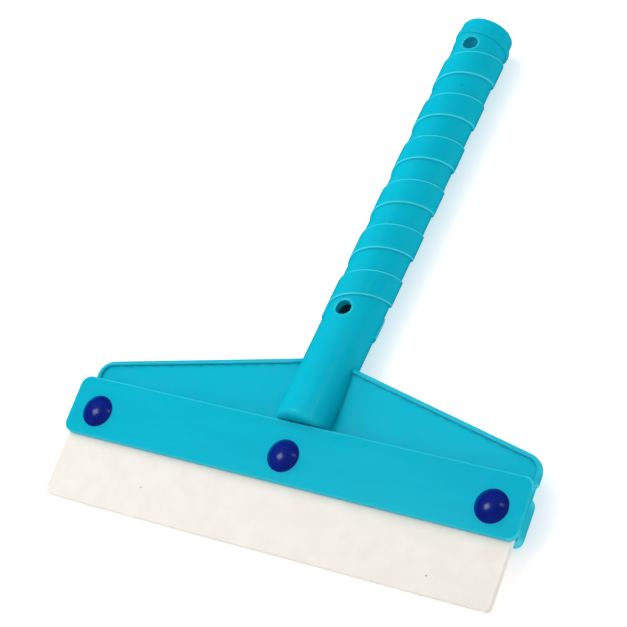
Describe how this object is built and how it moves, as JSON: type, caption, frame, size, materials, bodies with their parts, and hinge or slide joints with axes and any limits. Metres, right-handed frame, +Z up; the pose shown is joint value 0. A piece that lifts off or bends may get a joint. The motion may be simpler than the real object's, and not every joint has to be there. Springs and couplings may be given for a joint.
{
  "type": "pool wall wiper",
  "caption": "Hand wiper for pool and tile walls: tubular spiral-grip handle on a wide plate, with a flexible flat pad held by a front bar and domed snap studs.",
  "frame": {"origin": "centre of the bounding box's bottom, where the tool lies on its back on a table", "axes": "+Y along the handle towards its open end, +X along the wiping edge, +Z up, out of the face with the domed studs"},
  "size_m": [0.254, 0.3162, 0.0302],
  "materials": {
    "moulded_plastic": "satin injection-moulded aqua plastic",
    "bar_plastic": "satin injection-moulded aqua plastic with faint flow marks",
    "pad_rubber": "matt off-white flexible sheet",
    "stud_plastic": "glossy dark blue plastic"
  },
  "bodies": {
    "root": {"handle_tube": "moulded_plastic", "head_plate": "moulded_plastic", "clamp_bar": "bar_plastic", "wiper_pad": "pad_rubber", "stud_left": "stud_plastic", "stud_middle": "stud_plastic", "stud_right": "stud_plastic", "socket_left": "stud_plastic", "socket_middle": "stud_plastic", "socket_right": "stud_plastic"}
  },
  "joints": []
}
